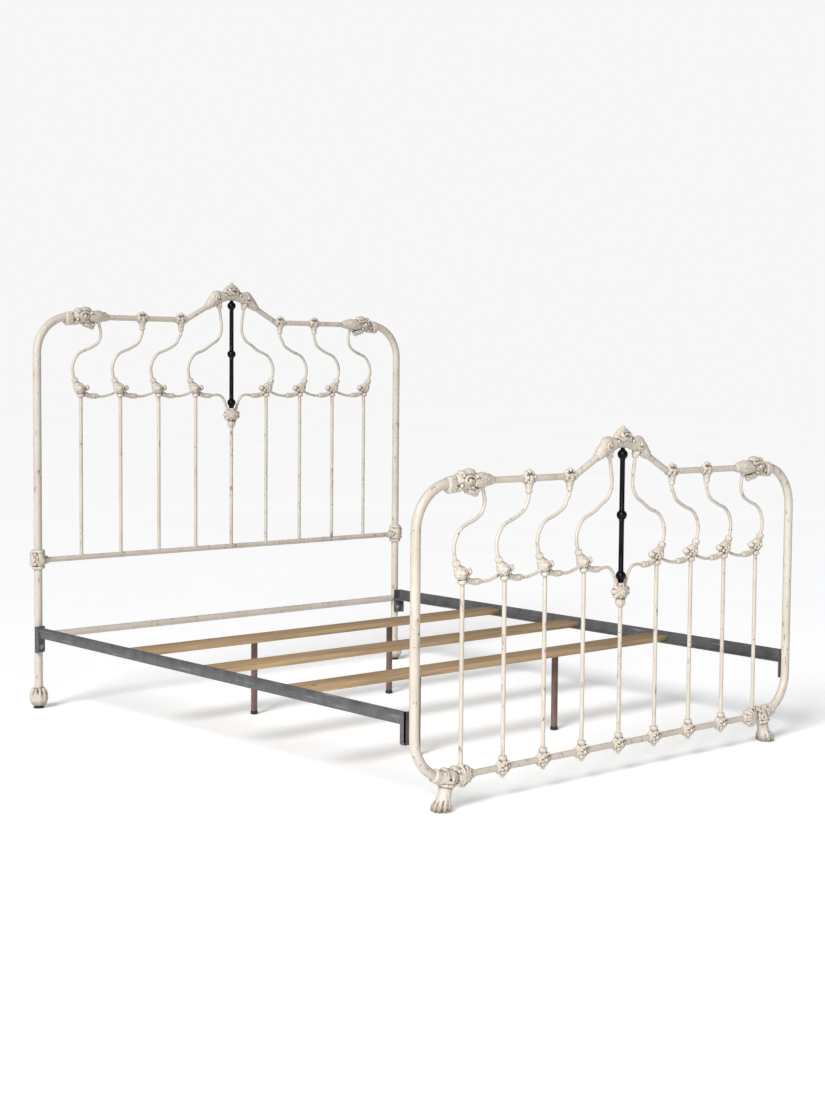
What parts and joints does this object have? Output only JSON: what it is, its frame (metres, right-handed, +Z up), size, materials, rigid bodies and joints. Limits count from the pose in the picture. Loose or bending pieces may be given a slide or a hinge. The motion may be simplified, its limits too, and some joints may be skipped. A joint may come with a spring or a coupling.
{
  "type": "metal bed frame",
  "caption": "Open iron bed frame with a tall headboard and lower footboard of branching spindles, cast ornaments, angle side rails and slats.",
  "frame": {"origin": "on the floor, at the centre of the frame's footprint", "axes": "+X to the right seen from the foot end, +Y from the footboard to the headboard, +Z up"},
  "size_m": [1.665, 2.115, 1.52],
  "materials": {
    "cream_paint": "worn cream paint over brown undercoat, satin",
    "cream_rods": "worn cream paint on rods and small castings, satin",
    "cream_casting": "worn cream paint on rough cast iron, brown in the recesses",
    "black_gloss": "glossy black enamel",
    "grey_steel": "dark grey paint, low sheen",
    "zinc_steel": "dull zinc",
    "brown_leg": "brown paint, satin",
    "slat_wood": "sawn softwood",
    "glide_plastic": "matt black"
  },
  "bodies": {
    "frame": {"headboard_post_left": "cream_paint", "headboard_corner_casting_left": "cream_casting", "headboard_top_rail_left": "cream_paint", "headboard_branch_spindle_left_1": "cream_rods", "headboard_branch_spindle_left_2": "cream_rods", "headboard_branch_spindle_left_3": "cream_rods", "headboard_branch_spindle_left_4": "cream_rods", "headboard_post_right": "cream_paint", "headboard_corner_casting_right": "cream_casting", "headboard_top_rail_right": "cream_paint", "headboard_branch_spindle_right_1": "cream_rods", "headboard_branch_spindle_right_2": "cream_rods", "headboard_branch_spindle_right_3": "cream_rods", "headboard_branch_spindle_right_4": "cream_rods", "headboard_crest_casting": "cream_casting", "headboard_black_spindle": "black_gloss", "headboard_rosette_spindle": "cream_rods", "footboard_post_left": "cream_paint", "footboard_corner_casting_left": "cream_casting", "footboard_top_rail_left": "cream_paint", "footboard_branch_spindle_left_1": "cream_rods", "footboard_branch_spindle_left_2": "cream_rods", "footboard_branch_spindle_left_3": "cream_rods", "footboard_branch_spindle_left_4": "cream_rods", "footboard_post_right": "cream_paint", "footboard_corner_casting_right": "cream_casting", "footboard_top_rail_right": "cream_paint", "footboard_branch_spindle_right_1": "cream_rods", "footboard_branch_spindle_right_2": "cream_rods", "footboard_branch_spindle_right_3": "cream_rods", "footboard_branch_spindle_right_4": "cream_rods", "footboard_crest_casting": "cream_casting", "footboard_black_spindle": "black_gloss", "footboard_rosette_spindle": "cream_rods", "headboard_cross_rail": "cream_paint", "headboard_bottom_stretcher": "cream_paint", "footboard_bottom_rail": "cream_casting", "footboard_foot_casting_left": "cream_casting", "side_rail_left": "grey_steel", "rail_bracket_head_left": "grey_steel", "bracket_bolt_head_left": "zinc_steel", "rail_bracket_foot_left": "grey_steel", "bracket_bolt_foot_left": "zinc_steel", "footboard_foot_casting_right": "cream_casting", "side_rail_right": "grey_steel", "rail_bracket_head_right": "grey_steel", "bracket_bolt_head_right": "zinc_steel", "rail_bracket_foot_right": "grey_steel", "bracket_bolt_foot_right": "zinc_steel", "slat_foot": "slat_wood", "slat_middle": "slat_wood", "slat_head": "slat_wood", "slat_leg_foot_left": "brown_leg", "slat_leg_foot_right": "brown_leg", "slat_leg_head_left": "brown_leg", "slat_leg_head_right": "brown_leg"},
    "glide_pad_left": {"headboard_glide_pad_left": "glide_plastic"},
    "glide_pad_right": {"headboard_glide_pad_right": "glide_plastic"},
    "glide_stem_left": {"headboard_glide_stem_left": "zinc_steel"},
    "glide_stem_right": {"headboard_glide_stem_right": "zinc_steel"}
  },
  "joints": [
    {"name": "glide_left_travel", "type": "slide", "parent": "frame", "child": "glide_pad_left", "axis": [0, 0, -1], "range_m": [0, 0.012]},
    {"name": "glide_left_turn", "type": "hinge", "parent": "glide_pad_left", "child": "glide_stem_left", "pos_m": [-0.8, 1.025, 0.02], "axis": [0, 0, 1], "range_deg": [0, 3500]},
    {"name": "glide_right_travel", "type": "slide", "parent": "frame", "child": "glide_pad_right", "axis": [0, 0, -1], "range_m": [0, 0.012]},
    {"name": "glide_right_turn", "type": "hinge", "parent": "glide_pad_right", "child": "glide_stem_right", "pos_m": [0.8, 1.025, 0.02], "axis": [0, 0, 1], "range_deg": [0, 3500]}
  ],
  "couplings": [
    {"joint": "glide_left_turn", "follows": "glide_left_travel", "rad_per_m": 5026.5},
    {"joint": "glide_right_turn", "follows": "glide_right_travel", "rad_per_m": 5026.5}
  ]
}
